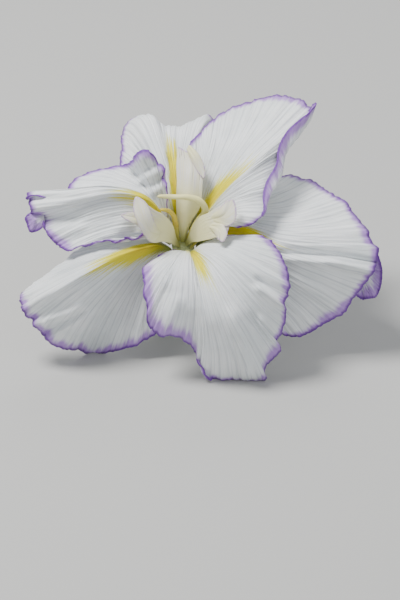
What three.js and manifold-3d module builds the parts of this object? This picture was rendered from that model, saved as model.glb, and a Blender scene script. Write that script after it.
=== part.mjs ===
// A Japanese iris bloom, picked with a short stem and laid on a flat surface. Three outer petals and three
// inner petals open flat around a throat. Three style arms with two-lobed crests stand in the middle, with three
// stamens between them. Below the throat come the floral tube, the ovary, two green bracts and the stem. The
// bloom rests on its stem end and on two petal edges.
//
// Millimetres. The part's frame has +Z up, with its origin below the middle of the bloom on the surface.
// Inside it, the face frame has x to the right across the bloom, y up the bloom and z out of its face.
// A shape point is [x, y, rise]: x and y in the face frame, and rise above the throat along the flower's axis.

import * as THREE from "three";
import { mergeVertices } from "three/addons/utils/BufferGeometryUtils.js";
import Module from "manifold-3d";

// Driving dimensions
const FACE_ANGLE = 30; // degrees the face looks above the horizontal
const AXIS_LEAN = 30; // degrees the flower's own axis leans up from the face's normal
const THROAT = [-7.6, -9, 49.5]; // where the throat is in the part's frame
const PETAL_THICK = 0.8;
const STYLE_THICK = 1.3;
const CLAW_WIDTH = 3; // of a petal's foot
const FAN = 1.3; // how soon the ribs of a blade leave its midrib
const SPREAD = 1.5; // how the ribs bend outwards
const INSET = 0.08; // how far inside a sheet's borders its outermost normals are taken
const TUBE_START = 0.9; // this and the next five are depths below the throat, down the axis
const TUBE_END = 13;
const CUP_DEPTH = 2.6;
const OVARY_END = 34;
const STEM_END = 57;
const TUBE_TOP_RADIUS = 5.6;
const TUBE_LOW_RADIUS = 3.4;
const TUBE_WALL = 0.7;
const OVARY_RADIUS = 4.4;
const STEM_RADIUS = 3.2;
const PEDICEL_RADIUS = 2.6;
const BRACT_THICK = 0.7;
const GAP = 0.35; // left between pieces that touch

const radians = THREE.MathUtils.degToRad;
const lean = radians(AXIS_LEAN);
const axis = new THREE.Vector3(0, Math.sin(lean), Math.cos(lean));
const surfaceUp = new THREE.Vector3(0, Math.cos(radians(FACE_ANGLE)), Math.sin(radians(FACE_ANGLE)));

// Where a shape point is in the face frame.
function place([x, y, rise]) {
  return new THREE.Vector3(x, y, (rise - y * axis.y) / axis.z);
}

function curveThrough(points) {
  return new THREE.CatmullRomCurve3(points.map(place), false, "centripetal");
}

// Keeps a point at least clear above the surface that the bloom lies on, with a soft bend where it meets it.
function lieOnSurface(point, clear) {
  const BEND = 0.3;
  const over = THROAT[2] + point.dot(surfaceUp) - clear;
  const lifted = (over + Math.hypot(over, BEND)) / 2;
  return point.addScaledVector(surfaceUp, lifted - over);
}

// A blade is a thin organ, such as a petal, whose ribs leave the midrib one after another and run out to the edge.
// left and right are its edges from the foot to the tip, and the midrib's last point is the tip. The result gives
// the point at share s along the rib t, where t is -1 at the left foot, 0 at the tip and 1 at the right foot.
// gather above 1 lets more of the ribs leave near the foot.
function bladeSurface({ midrib, left, right, footWidth, camber = 0, gather = 1 }) {
  const rib = curveThrough(midrib);
  const edge = curveThrough([...left, midrib.at(-1), ...right.toReversed()]);
  const lengths = edge.getLengths(20 * (left.length + right.length));
  const tipShare = lengths[20 * left.length] / lengths.at(-1);
  const foot = place(right[0]).sub(place(left[0])).setLength(footWidth / 2);
  return (s, t) => {
    const reach = (1 - Math.abs(t) ** FAN) ** gather;
    const along = t < 0 ? (1 + t) * tipShare : tipShare + t * (1 - tipShare);
    const out = edge.getPointAt(Math.min(1, along)).sub(rib.getPointAt(reach));
    const point = rib.getPointAt(reach * s).addScaledVector(out, s ** SPREAD);
    point.addScaledVector(foot, t * (1 - s ** SPREAD));
    const swell = 16 * s * (1 - s) * Math.abs(t) * (1 - Math.abs(t));
    return point.addScaledVector(axis, camber * swell);
  };
}

// The smooth surface across stations that follow each other from the foot to the tip, each a list of shape points
// from the left edge to the right one.
function loftSurface(stations) {
  const rows = stations.map(curveThrough);
  return (s, t) => {
    const crossed = rows.map((row) => row.getPoint((t + 1) / 2));
    return new THREE.CatmullRomCurve3(crossed, false, "centripetal").getPoint(s);
  };
}

// Bends a flat box into the sheet that a surface describes, thick on both sides of it.
function sheet(surface, thick, columns, rows) {
  const box = new THREE.BoxGeometry(2, 2, 1, columns, 1, rows);
  box.deleteAttribute("normal");
  box.deleteAttribute("uv");
  const geometry = mergeVertices(box);
  const position = geometry.attributes.position;
  const step = 0.02;
  for (let i = 0; i < position.count; i++) {
    const t = position.getX(i);
    const side = position.getY(i);
    const s = position.getZ(i) + 0.5;
    const here = surface(s, t);
    const nearS = THREE.MathUtils.clamp(s, INSET, 1 - INSET / 4);
    const nearT = THREE.MathUtils.clamp(t, INSET - 1, 1 - INSET);
    const alongRib = surface(nearS + step, nearT).sub(surface(nearS - step, nearT));
    const across = surface(nearS, nearT + step).sub(surface(nearS, nearT - step));
    const normal = alongRib.cross(across).normalize();
    here.addScaledVector(normal, (side * thick) / 2);
    position.setXYZ(i, here.x, here.y, here.z);
  }
  return geometry;
}

// Bends a cylinder along a curve, with a radius that depends on the share of the length and the angle round it.
function limb(curve, radius, sides, steps) {
  const rod = new THREE.CylinderGeometry(1, 1, 1, sides, steps);
  rod.deleteAttribute("normal");
  rod.deleteAttribute("uv");
  const geometry = mergeVertices(rod);
  const position = geometry.attributes.position;
  const frames = curve.computeFrenetFrames(steps);
  for (let i = 0; i < position.count; i++) {
    const along = position.getY(i) + 0.5;
    const ring = Math.round(along * steps);
    const x = position.getX(i);
    const z = position.getZ(i);
    const wide = radius(along, Math.atan2(z, x));
    const here = curve.getPointAt(along);
    here.addScaledVector(frames.normals[ring], x * wide);
    here.addScaledVector(frames.binormals[ring], -z * wide);
    position.setXYZ(i, here.x, here.y, here.z);
  }
  return geometry;
}

// A straight limb down the flower's axis, between two depths below the throat.
function shaft(from, to, radius, sides, steps) {
  const top = axis.clone().multiplyScalar(-from);
  const end = axis.clone().multiplyScalar(-to);
  return limb(new THREE.LineCurve3(top, end), radius, sides, steps);
}

const wasm = await Module();
wasm.setup();

function solidOf(geometry) {
  const merged = mergeVertices(geometry, 1e-4);
  const vertProperties = merged.attributes.position.array;
  const triVerts = new Uint32Array(merged.index.array);
  return new wasm.Manifold(new wasm.Mesh({ numProp: 3, vertProperties, triVerts }));
}

function geometryOf(solid) {
  const { vertProperties, triVerts } = solid.getMesh();
  const geometry = new THREE.BufferGeometry();
  geometry.setAttribute("position", new THREE.BufferAttribute(vertProperties, 3));
  geometry.setIndex(new THREE.BufferAttribute(triVerts, 1));
  return geometry;
}

function material(color, roughness) {
  return new THREE.MeshStandardMaterial({ color, roughness, metalness: 0, side: THREE.DoubleSide });
}

const whitePetal = material(0xe9edee, 0.55);
const creamStyle = material(0xeceacb, 0.5);
const yellowStamen = material(0xe8d774, 0.6);
const anther = material(0xc9a24a, 0.8);
const greenTube = material(0x8ba04a, 0.5);
const greenOvary = material(0x54742f, 0.5);
const greenBract = material(0x4f7a34, 0.55);
const greenStem = material(0x44692c, 0.5);

function mesh(name, geometry, finish) {
  const made = new THREE.Mesh(geometry, finish);
  made.name = name;
  return made;
}

// Petals. Each is listed from its foot outwards, left and right as the foot looks at the tip from the front.

const PETALS = {
  inner_petal_front: {
    camber: 3,
    midrib: [[1.9, -4.6, 0], [4.5, -4.5, 11], [10, -14, 20], [17, -32, 15], [23.5, -50, -2], [27, -64.5, -23.5]],
    left: [
      [-0.5, -2.6, 2], [-7, -4, 9], [-13, -6.5, 13], [-18.5, -12, 15], [-18.3, -20, 14], [-17.5, -27, 11],
      [-16.5, -36, 5], [-13, -41, 0], [-7, -42.5, -2], [0, -43.5, -4], [4.5, -48, -8], [7, -54, -13],
      [10, -60, -18.5], [18, -63.5, -22.5],
    ],
    right: [
      [6, -2, 2], [17, 3, 10], [28, 4, 17], [37, 3.2, 21], [44, -2, 21], [48.5, -9, 20], [49.5, -18, 17],
      [47.5, -28, 11], [46.5, -40, 0], [45, -50, -9], [40, -59, -17.5], [36, -65.3, -23.5],
    ],
  },
  inner_petal_left: {
    camber: 1.5,
    gather: 2.2,
    midrib: [
      [-6, 1.4, 0], [-8, 10.5, 15], [-16, 20.5, 27], [-32, 23.5, 31], [-52, 20, 27], [-71.5, 17, 18],
    ],
    left: [
      [-4.8, 3.6, 1], [-4.6, 12, 9.5], [-5.8, 21, 19.5], [-7.3, 28.5, 28], [-9, 35, 34], [-13, 40.5, 37],
      [-19, 44, 37], [-24, 40, 28], [-29, 37.2, 20], [-35, 36.6, 20], [-42, 35, 21], [-50, 31.5, 20],
      [-55.5, 25, 21], [-63, 24.2, 22], [-73, 24.6, 20],
    ],
    right: [
      [-6.5, 0.2, 2], [-12, 3.5, 11], [-19, 4.5, 17], [-28, 2, 19], [-37, 1.4, 18], [-45, 0, 16], [-53, -3.2, 13],
      [-60, 0.5, 12], [-66, 8, 12], [-70.5, 12, 14],
    ],
  },
  inner_petal_right: {
    camber: 2,
    midrib: [[4.4, 3.8, 0], [9, 12, 10.5], [17, 23, 22], [31, 37, 31], [46, 51, 32], [61, 64.5, 27]],
    left: [
      [2.6, 6, 2], [3, 14, 10], [2.5, 22, 16], [2.3, 30, 20], [2.3, 38, 22], [3.2, 46, 23], [6.5, 52, 22], [12, 58, 20],
      [18, 63.5, 18], [26, 67, 17], [34, 69.8, 19], [42, 71.5, 21], [50, 71, 23], [57.5, 69, 25],
    ],
    right: [
      [5.7, 2.8, 1.2], [13, 6.4, 9], [20, 8, 15.5], [26, 8.3, 22], [32, 9.7, 25], [37, 12.5, 27], [39.5, 19, 27],
      [43.5, 26, 26], [46.6, 33, 26], [47.2, 40, 27], [50.5, 48, 28], [56, 55.5, 28], [60, 61, 28],
    ],
  },
  outer_petal_top: {
    camber: 0,
    midrib: [[-0.8, 5.3, 0], [-2.5, 14, 10], [-4, 28, 17], [-6, 43, 19], [-8, 57, 12], [-9, 53, -14]],
    left: [
      [-3.2, 5, 1], [-8, 10, 5], [-15, 17, 7], [-22, 24, 8], [-28, 32, 8], [-30.8, 40, 8], [-30.2, 47, 8],
      [-29.5, 53, 7], [-27, 58.5, 6], [-22.5, 61.5, 4], [-18, 61, -1], [-14, 56, -9],
    ],
    right: [
      [1.6, 5.8, 1], [4, 12, 3], [9, 21, 5], [13, 31, 6], [15.5, 42, 6], [16, 52, 5], [13, 61, 4], [7, 57, -4],
      [0, 53, -11],
    ],
  },
  outer_petal_right: {
    camber: 0,
    midrib: [[6.2, -1, 0], [13, 4, 5.5], [27, 6.5, 14.5], [46, -2, 17], [68, -7, 12], [90, -11.5, 4]],
    left: [
      [6.2, 0.6, 0.4], [14, 11, 3], [22, 20, 5], [31, 27, 5], [39, 31, 5], [47, 33.3, 5], [54, 32.5, 6], [61, 31, 7],
      [70, 26, 8], [78, 19.5, 9], [84, 12, 9], [88, 4, 9], [92, -3, 7],
    ],
    right: [
      [5.8, -3.4, 0], [13, -10, -2], [23, -20, -7], [33, -31, -13], [42, -39, -18], [52, -42.5, -20],
      [61, -40.5, -19], [70, -35, -15], [78, -28.5, -10], [84, -21, -4],
    ],
  },
  outer_petal_left: {
    camber: 0,
    midrib: [[-5.4, -2.6, 0], [-12, -0.5, 8], [-26, -4, 15], [-43, -12, 16], [-60, -22, 9], [-75, -31, -4]],
    left: [
      [-3.8, -4.6, 0], [-4.5, -14, -2], [-5, -24, -7], [-7, -33, -13], [-12, -41, -19], [-20, -46.5, -24],
      [-28, -49, -28], [-36, -51, -33], [-43, -53, -36], [-49, -50.5, -30], [-57, -48.5, -22], [-64, -45, -17],
      [-69, -39, -12], [-73, -35, -7],
    ],
    right: [
      [-6.6, -0.8, 1], [-12, 2, 4], [-20, 4.5, 7], [-32, 4.5, 9], [-42, 1.5, 9], [-52, -3.5, 7], [-60, -10.5, 4],
      [-68, -16.5, 0], [-76, -22.5, -4],
    ],
  },
};

const parts = [];

for (const [name, petal] of Object.entries(PETALS)) {
  const surface = bladeSurface({ ...petal, footWidth: CLAW_WIDTH });
  const resting = (s, t) => lieOnSurface(surface(s, t), PETAL_THICK * 0.5);
  parts.push(mesh(name, sheet(resting, PETAL_THICK, 26, 11), whitePetal));
}

// Style arms, as stations from the foot to the tip. Each station goes from the left edge by the midrib to the right
// edge, and the last one dips between the two lobes of the crest.

const STYLE_ARMS = {
  style_arm_top: [
    [[-0.9, 1.6, -1], [0, 1.6, -1], [0.9, 1.6, -1]],
    [[-1.2, 5, 4], [0.5, 5, 5], [1.7, 6, 5]],
    [[-2.3, 11, 10.5], [1.2, 12, 13.7], [4.3, 12, 13]],
    [[-2.8, 20, 18], [2.4, 21, 22.8], [8, 18, 19.3]],
    [[-2.6, 30, 24], [2.8, 31, 28.4], [9, 26, 25]],
    [[-3, 38, 27.8], [2.4, 38, 30], [9.2, 33, 28.5]],
    [[-2.2, 46, 30.6], [2.2, 43.5, 30.8], [5.8, 44.6, 31.2]],
  ],
  style_arm_right: [
    [[1.3, 1, -1], [1.7, 0.3, -1], [2, -0.5, -1]],
    [[3.2, 4.2, 6], [3.9, 2.8, 6.2], [4.5, 1.2, 5.5]],
    [[5, 9, 14.5], [7.1, 5.2, 14.3], [7.5, 1.4, 11.5]],
    [[8, 12.8, 21.2], [11.6, 7.8, 21.4], [12, 2.2, 17.8]],
    [[12.5, 14.8, 26], [16.4, 9.4, 26], [15.8, 3, 23]],
    [[17.5, 17.6, 30.2], [19.8, 10.4, 28], [18, 2, 24.6]],
    [[23.2, 18, 32.2], [21.6, 8.6, 27.8], [20, 3.4, 25.8]],
  ],
  style_arm_left: [
    [[-1.9, 0.2, -1], [-2, -0.6, -1], [-2, -1.4, -1]],
    [[-3.7, 3.4, 6], [-4.1, 1.8, 6], [-4.4, 0, 5]],
    [[-5.2, 9, 15.5], [-6.6, 5, 13.4], [-6.7, 0.8, 10.5]],
    [[-8.8, 13.6, 25], [-11, 7.6, 20.8], [-10.5, 1.2, 17]],
    [[-12.5, 15.3, 28.6], [-15.6, 9, 25.4], [-14, 0.8, 20.3]],
    [[-16.5, 18, 32], [-19.4, 12, 29], [-19, 6.6, 25.4]],
    [[-20.8, 20.6, 34.4], [-21, 14, 30.2], [-25.5, 11.8, 29]],
  ],
};

for (const [name, stations] of Object.entries(STYLE_ARMS)) {
  parts.push(mesh(name, sheet(loftSurface(stations), STYLE_THICK, 8, 20), creamStyle));
}

// Stamens, each listed from its foot to its tip, with its radius at the thickest place.

const STAMENS = {
  stamen_top: {
    finish: yellowStamen,
    radius: 1.4,
    path: [
      [2.1, 2, -1], [3.9, 6, 6.3], [7.6, 11.2, 15.6], [10.3, 16, 22.3], [8, 20, 26.5], [3, 21.6, 28.6], [-5, 22, 29],
      [-12, 22.2, 29.7],
    ],
  },
  stamen_left: {
    finish: anther,
    radius: 1.2,
    path: [[-1.9, 2.1, -1], [-3.2, 6.2, 5.6], [-3.7, 10.4, 13], [-4.4, 13.4, 18], [-6.8, 15.6, 21.3], [-10.8, 16.2, 23]],
  },
  stamen_right: {
    finish: anther,
    radius: 1.2,
    path: [[3.3, -1.6, -1], [7, 2.4, 5.6], [11.5, 8.8, 14.8], [17, 14, 23.3], [22, 19.3, 26.5]],
  },
};

for (const [name, { finish, radius, path }] of Object.entries(STAMENS)) {
  const taper = (along) => radius * (0.55 + 0.45 * Math.sin(Math.PI * along ** 0.8)) * (along > 0.999 ? 0.4 : 1);
  parts.push(mesh(name, limb(curveThrough(path), taper, 8, 16), finish));
}

// Tube, ovary, stem and bracts, each at its depth below the throat.

const tubeRadius = (along) => TUBE_LOW_RADIUS + (TUBE_TOP_RADIUS - TUBE_LOW_RADIUS) * (1 - along) ** 2;
const tube = solidOf(shaft(TUBE_START, TUBE_END, tubeRadius, 24, 8));
const cup = solidOf(shaft(-1, CUP_DEPTH, (along) => TUBE_TOP_RADIUS - TUBE_WALL - 0.6 * along, 24, 1));
parts.push(mesh("floral_tube", geometryOf(tube.subtract(cup)), greenTube));

const ovaryRadius = (along, angle) => {
  const swell = 0.72 + 0.28 * Math.sin(Math.PI * Math.min(1, along * 1.05)) ** 0.7;
  return OVARY_RADIUS * swell * (1 + 0.06 * Math.cos(3 * angle));
};
parts.push(mesh("ovary", shaft(TUBE_END + GAP, OVARY_END, ovaryRadius, 24, 10), greenOvary));

const stemRadius = (along) => PEDICEL_RADIUS + (STEM_RADIUS - PEDICEL_RADIUS) * Math.min(1, along * 1.6);
const longStem = solidOf(shaft(OVARY_END + GAP, STEM_END + 10, stemRadius, 16, 8));
const cut = longStem.trimByPlane(surfaceUp.toArray(), -THROAT[2]);
parts.push(mesh("stem", geometryOf(cut), greenStem));

// A bract wraps one side of the stem and the ovary, and narrows to a tip that stands a little off the tube.
function bract(turn, low, high, clear) {
  const across = new THREE.Vector3(1, 0, 0);
  const back = axis.clone().cross(across);
  const surface = (s, t) => {
    const depth = low + (high - low) * s;
    const half = radians(78) * (1 - 0.93 * s ** 3);
    const bulge = Math.sin(Math.PI * Math.min(1, s * 1.15)) ** 2;
    const wide = STEM_RADIUS + clear + 2.3 * bulge + 3.2 * s ** 3;
    const angle = radians(turn) + t * half;
    const point = axis.clone().multiplyScalar(-depth);
    point.addScaledVector(across, wide * Math.cos(angle));
    return point.addScaledVector(back, wide * Math.sin(angle));
  };
  return sheet(surface, BRACT_THICK, 12, 10);
}

parts.push(mesh("bract_outer", bract(-60, 49, 12, 0.8), greenBract));
parts.push(mesh("bract_inner", bract(120, 45, 16, 0.8), greenBract));

const bloom = new THREE.Group();
bloom.add(...parts);
bloom.rotation.x = radians(90 - FACE_ANGLE);
bloom.position.set(...THROAT);

const iris = new THREE.Group();
iris.add(bloom);
export default iris;
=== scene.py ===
import math
import random

import bmesh
import bpy
import numpy as np
from mathutils import Matrix, Vector


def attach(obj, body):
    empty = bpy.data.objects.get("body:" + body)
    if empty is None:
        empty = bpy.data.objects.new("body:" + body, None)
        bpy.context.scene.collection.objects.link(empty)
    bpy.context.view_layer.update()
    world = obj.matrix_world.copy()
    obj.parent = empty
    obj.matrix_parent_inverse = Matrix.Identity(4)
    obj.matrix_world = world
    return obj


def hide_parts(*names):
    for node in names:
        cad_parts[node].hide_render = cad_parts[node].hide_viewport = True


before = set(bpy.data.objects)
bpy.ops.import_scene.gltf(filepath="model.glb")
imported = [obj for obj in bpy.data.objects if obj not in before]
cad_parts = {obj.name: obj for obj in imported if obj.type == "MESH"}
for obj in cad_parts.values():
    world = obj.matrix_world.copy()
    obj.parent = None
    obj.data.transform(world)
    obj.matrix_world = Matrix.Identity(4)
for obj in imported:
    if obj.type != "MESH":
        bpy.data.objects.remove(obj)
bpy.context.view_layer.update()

# The bloom's face frame, in millimetres: x to the right across the bloom, y up it and z out of its face.
# A shape point is [x, y, rise], where rise is counted above the throat along the flower's own axis.
FACE_ANGLE = math.radians(30)
AXIS_LEAN = math.radians(30)
THROAT = Vector((-7.6, -9.0, 49.5))
AXIS = np.array([0.0, math.sin(AXIS_LEAN), math.cos(AXIS_LEAN)])
SURFACE_UP = np.array([0.0, math.cos(FACE_ANGLE), math.sin(FACE_ANGLE)])
FACE_TURN = Matrix.Rotation(math.pi / 2 - FACE_ANGLE, 4, "X")
TO_FRAME = Matrix.Scale(0.001, 4) @ Matrix.Translation(THROAT) @ FACE_TURN

# Petals keep this far above the surface, and bend rather than break where they come near it.
CLEAR = 0.25
SOFT_LIFT = 0.3

# Ribs leave the midrib by the first power, and open out to the margin by the second.
FAN = 1.3
SPREAD = 1.5
CURVE_STEPS = 24

# Sheets, in millimetres. The thinnest part of a sheet is this share of its thickness.
PETAL_THICK = 0.8
STYLE_THICK = 1.3
BRACT_THICK = 0.6
THINNEST = 0.2
PETAL_FOOT = 3.0
CREST_FOOT = 1.6
CREST_CAMBER = 0.6

# Where the round organs start and end, in millimetres down the flower's axis from the throat.
TUBE_SPAN = (0.5, 13.2)
OVARY_SPAN = (13, 34.4)
STEM_SPAN = (34, 60)

# In metres: corners nearer to each other than the seam are one, and the stem is cut off at this height.
SEAM = 2e-6
STEM_CUT_HEIGHT = 0.00002


def place(point):
    x, y, rise = point
    return [x, y, (rise - y * AXIS[1]) / AXIS[2]]


def smooth(value, low, high):
    share = np.clip((value - low) / (high - low), 0, 1)
    return share * share * (3 - 2 * share)


class Run:
    """A smooth curve through shape points, read by its share of the length."""

    def __init__(self, points, placed=False):
        p = np.array(points if placed else [place(q) for q in points])
        p = np.vstack([2 * p[0] - p[1], p, 2 * p[-1] - p[-2]])
        made = [p[1]]
        for i in range(1, len(p) - 2):
            knots = [0.0]
            for j in range(3):
                knots.append(knots[-1] + max(1e-4, np.linalg.norm(p[i + j] - p[i + j - 1])) ** 0.5)
            for k in range(1, CURVE_STEPS + 1):
                at = knots[1] + (knots[2] - knots[1]) * k / CURVE_STEPS
                made.append(self.between(p[i - 1 : i + 3], knots, at))
        self.points = np.array(made)
        gaps = np.linalg.norm(np.diff(self.points, axis=0), axis=1)
        self.lengths = np.concatenate([[0], np.cumsum(gaps)])
        self.length = self.lengths[-1]

    @staticmethod
    def between(p, k, at):
        def lerp(a, b, low, high):
            return a * ((high - at) / (high - low)) + b * ((at - low) / (high - low))

        first = lerp(p[0], p[1], k[0], k[1])
        middle = lerp(p[1], p[2], k[1], k[2])
        last = lerp(p[2], p[3], k[2], k[3])
        return lerp(lerp(first, middle, k[0], k[2]), lerp(middle, last, k[1], k[3]), k[1], k[2])

    def at(self, share):
        far = np.clip(share, 0, 1) * self.length
        return np.stack([np.interp(far, self.lengths, self.points[:, i]) for i in range(3)], axis=-1)

    def share_near(self, x, y):
        gaps = (self.points[:, 0] - x) ** 2 + (self.points[:, 1] - y) ** 2
        return self.lengths[gaps.argmin()] / self.length


def unit(vectors):
    return vectors / np.maximum(1e-9, np.linalg.norm(vectors, axis=-1, keepdims=True))


def even(values, reach):
    """Each row of values averaged with its neighbours."""
    padded = np.pad(values, ((reach, reach), (0, 0)), mode="edge")
    return sum(padded[k : k + len(values)] for k in range(2 * reach + 1)) / (2 * reach + 1)


def normals_of(points):
    normal = unit(np.cross(np.gradient(points, axis=0), np.gradient(points, axis=1)))
    return normal if normal[..., 2].mean() > 0 else -normal


def lie_on_surface(points, clear):
    over = THROAT.z + points @ SURFACE_UP - clear
    lifted = (over + np.hypot(over, SOFT_LIFT)) / 2
    return points + (lifted - over)[..., None] * SURFACE_UP


def waves(t, seed, tones):
    """A wandering wave over t, which is the sum of the tones, each (waves over the whole width, height)."""
    draw = random.Random(seed)
    total = np.zeros_like(t)
    for count, height in tones:
        for spread in (0.83, 1.0, 1.21):
            total = total + height / 3 * np.sin(math.pi * count * spread * t + draw.uniform(0, 2 * math.pi))
    return total


class Blade:
    """A thin organ with ribs that leave its midrib one after another and run out to the margin.

    A column is one rib, from the left foot by the tip to the right foot, and a row is a share of each."""

    def __init__(self, midrib, left, right, foot_width, camber=0.0, gather=1.0, columns=260, rows=44):
        rib = Run(midrib)
        self.edge = Run([*left, midrib[-1], *reversed(right)])
        tip_share = self.edge.lengths[CURVE_STEPS * len(left)] / self.edge.length
        self.tip_share = tip_share
        t = np.linspace(-1, 1, columns + 1)[:, None]
        s = np.linspace(0, 1, rows + 1)[None, :]
        reach = (1 - np.abs(t) ** FAN) ** gather
        around = np.where(t < 0, (1 + t) * tip_share, tip_share + t * (1 - tip_share))
        out = self.edge.at(around) - rib.at(reach)
        across = np.array(place(right[0])) - np.array(place(left[0]))
        foot = unit(across) * foot_width / 2
        points = rib.at(reach * s) + out * (s**SPREAD)[..., None]
        points = points + (t * (1 - s**SPREAD))[..., None] * foot
        swell = 16 * s * (1 - s) * np.abs(t) * (1 - np.abs(t))
        self.points = points + (camber * swell)[..., None] * AXIS
        self.t = np.broadcast_to(t, swell.shape)
        self.s = np.broadcast_to(s, swell.shape)
        self.measure()

    def measure(self):
        gaps = np.linalg.norm(np.diff(self.points, axis=1), axis=2)
        self.along = np.concatenate([np.zeros((len(gaps), 1)), np.cumsum(gaps, axis=1)], axis=1)
        self.full = self.along[:, -1:]
        self.margin = self.full - self.along
        self.room = np.clip(self.full / 30, 0, 1)

    def t_near(self, x, y):
        share = self.edge.share_near(x, y)
        if share < self.tip_share:
            return share / self.tip_share - 1
        return (share - self.tip_share) / (1 - self.tip_share)

    def stretch(self, first, last, soft=0.12):
        """1 on the part of the margin from one place to the other, which falls softly to 0 past its ends."""
        low, high = sorted((self.t_near(*first), self.t_near(*last)))
        ease = soft * (high - low)
        return smooth(self.t, low - ease, low + ease) * (1 - smooth(self.t, high - ease, high + ease))

    def roll(self, first, last, radius, width, side, flare=0.2, soft=0.3):
        """Curls the margin over, towards the front for side 1 and the back for side -1."""
        weight = self.stretch(first, last, soft)[:, 0]
        edge_way = unit(even(np.gradient(self.points[:, -1], axis=0), 9))
        rib_way = unit(even(self.points[:, -1] - self.points[:, -4], 9))
        along_edge = np.sum(rib_way * edge_way, axis=1)
        outward = unit(rib_way - along_edge[:, None] * edge_way)
        steep = np.clip(np.sum(rib_way * outward, axis=1), 0.25, 1)
        up = unit(even(normals_of(self.points)[:, -4], 9)) * side
        made = self.points.copy()
        for i in np.nonzero(weight > 0.02)[0]:
            bend = radius * min(1.0, 2 * weight[i])
            start = max(0.0, self.full[i, 0] - bend / steep[i])
            total = start + (math.pi * bend + width * weight[i]) / steep[i]
            far = self.s[i] * total
            base = np.stack([np.interp(far, self.along[i], self.points[i, :, k]) for k in range(3)], axis=-1)
            hub = np.array([np.interp(start, self.along[i], self.points[i, :, k]) for k in range(3)])
            gone = np.clip(far - start, 0, None)
            turn = np.clip(gone * steep[i] / bend, 0, math.pi)
            back = np.clip(gone * steep[i] - math.pi * bend, 0, None)
            curl = hub + outward[i] * (bend * np.sin(turn) - back)[:, None]
            curl = curl + up[i] * (bend * (1 - np.cos(turn)) + flare * back)[:, None]
            curl = curl + edge_way[i] * (along_edge[i] * gone)[:, None]
            made[i] = np.where((far > start)[:, None], curl, base)
        self.points = made
        self.measure()
        return weight[:, None]

    def push(self, height, along=None):
        """Moves every point by a height, along its normal or along the direction that is given."""
        way = normals_of(self.points) if along is None else along
        self.points = self.points + height[..., None] * way
        self.measure()

    def fold(self, line, height, width):
        """A ridge, or a valley if the height is negative, that grows along a line of face points."""
        x = self.points[..., 0]
        y = self.points[..., 1]
        gap = np.full(x.shape, 1e9)
        share = np.zeros(x.shape)
        steps = [math.dist(a, b) for a, b in zip(line, line[1:])]
        done = 0.0
        for (a, b), size in zip(zip(line, line[1:]), steps):
            u = ((x - a[0]) * (b[0] - a[0]) + (y - a[1]) * (b[1] - a[1])) / size**2
            u = np.clip(u, 0, 1)
            here = np.hypot(x - a[0] - u * (b[0] - a[0]), y - a[1] - u * (b[1] - a[1]))
            share = np.where(here < gap, (done + u * size) / sum(steps), share)
            gap = np.minimum(gap, here)
            done += size
        rise = height * np.exp(-((gap / width) ** 2)) * smooth(share, 0, 0.25)
        self.push(rise, along=np.array([0.0, 0.0, 1.0]))


class Loft(Blade):
    """A thin organ through stations from its foot to its tip, each listed from the left edge rightwards."""

    def __init__(self, stations, columns=60, rows=90):
        t = np.linspace(-1, 1, columns + 1)
        s = np.linspace(0, 1, rows + 1)
        crossed = np.array([Run(station).at((t + 1) / 2) for station in stations])
        self.points = np.stack([Run(crossed[:, i], placed=True).at(s) for i in range(columns + 1)])
        self.t, self.s = np.broadcast_arrays(t[:, None], s[None, :])
        self.measure()
        widths = np.linalg.norm(np.diff(self.points, axis=0), axis=2).sum(axis=0)
        self.margin = np.minimum(self.margin, widths * (1 - np.abs(self.t)) / 2)


def to_frame(points):
    flat = points.reshape(-1, 3)
    turned = flat @ np.array(TO_FRAME.to_3x3()).T + np.array(TO_FRAME.translation)
    return turned.reshape(points.shape)


def skin(name, points, facts, material, node, closed=False, thick=None, thick_share=None):
    """Bends a grid over the points, one column of vertices to each of their rows, and makes it a piece."""
    columns, rows = points.shape[0] - 1, points.shape[1] - 1
    bm = bmesh.new()
    bmesh.ops.create_grid(bm, x_segments=columns, y_segments=rows, size=1)
    layers = {fact: bm.verts.layers.float_vector.new(fact) for fact in facts}
    placed = to_frame(points)
    places = {}
    for vert in bm.verts:
        i = round((vert.co.x + 1) / 2 * columns)
        j = round((vert.co.y + 1) / 2 * rows)
        places[vert.index] = (i, j)
        vert.co = placed[i, j]
        for fact, layer in layers.items():
            vert[layer] = facts[fact][i, j]
    if closed:
        bmesh.ops.remove_doubles(bm, verts=bm.verts, dist=SEAM)
        bmesh.ops.recalc_face_normals(bm, faces=bm.faces)
    for face in bm.faces:
        face.smooth = True
    mesh = bpy.data.meshes.new(name)
    bm.to_mesh(mesh)
    bm.free()
    piece = bpy.data.objects.new(name, mesh)
    bpy.context.scene.collection.objects.link(piece)
    mesh.materials.append(material)
    if thick:
        solid = piece.modifiers.new("Thickness", "SOLIDIFY")
        solid.thickness = thick / 1000
        solid.offset = 0
        solid.use_even_offset = False
        if thick_share is not None:
            group = piece.vertex_groups.new(name="Thickness")
            for index, (i, j) in places.items():
                group.add([index], float(thick_share[i, j]), "REPLACE")
            solid.vertex_group = group.name
            solid.thickness_vertex_group = THINNEST
    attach(piece, "root")
    if node:
        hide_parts(node)
    return piece


# Materials.


class Wire:
    """A socket's value, on which sums are written as plain expressions."""

    def __init__(self, maker, socket):
        self.maker = maker
        self.socket = socket

    def math(self, operation, *values):
        return self.maker.node("ShaderNodeMath", {"operation": operation}, dict(enumerate(values)))

    def __add__(self, other):
        return self.math("ADD", self, other)

    def __radd__(self, other):
        return self.math("ADD", other, self)

    def __sub__(self, other):
        return self.math("SUBTRACT", self, other)

    def __rsub__(self, other):
        return self.math("SUBTRACT", other, self)

    def __mul__(self, other):
        return self.math("MULTIPLY", self, other)

    def __truediv__(self, other):
        return self.math("DIVIDE", self, other)


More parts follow.
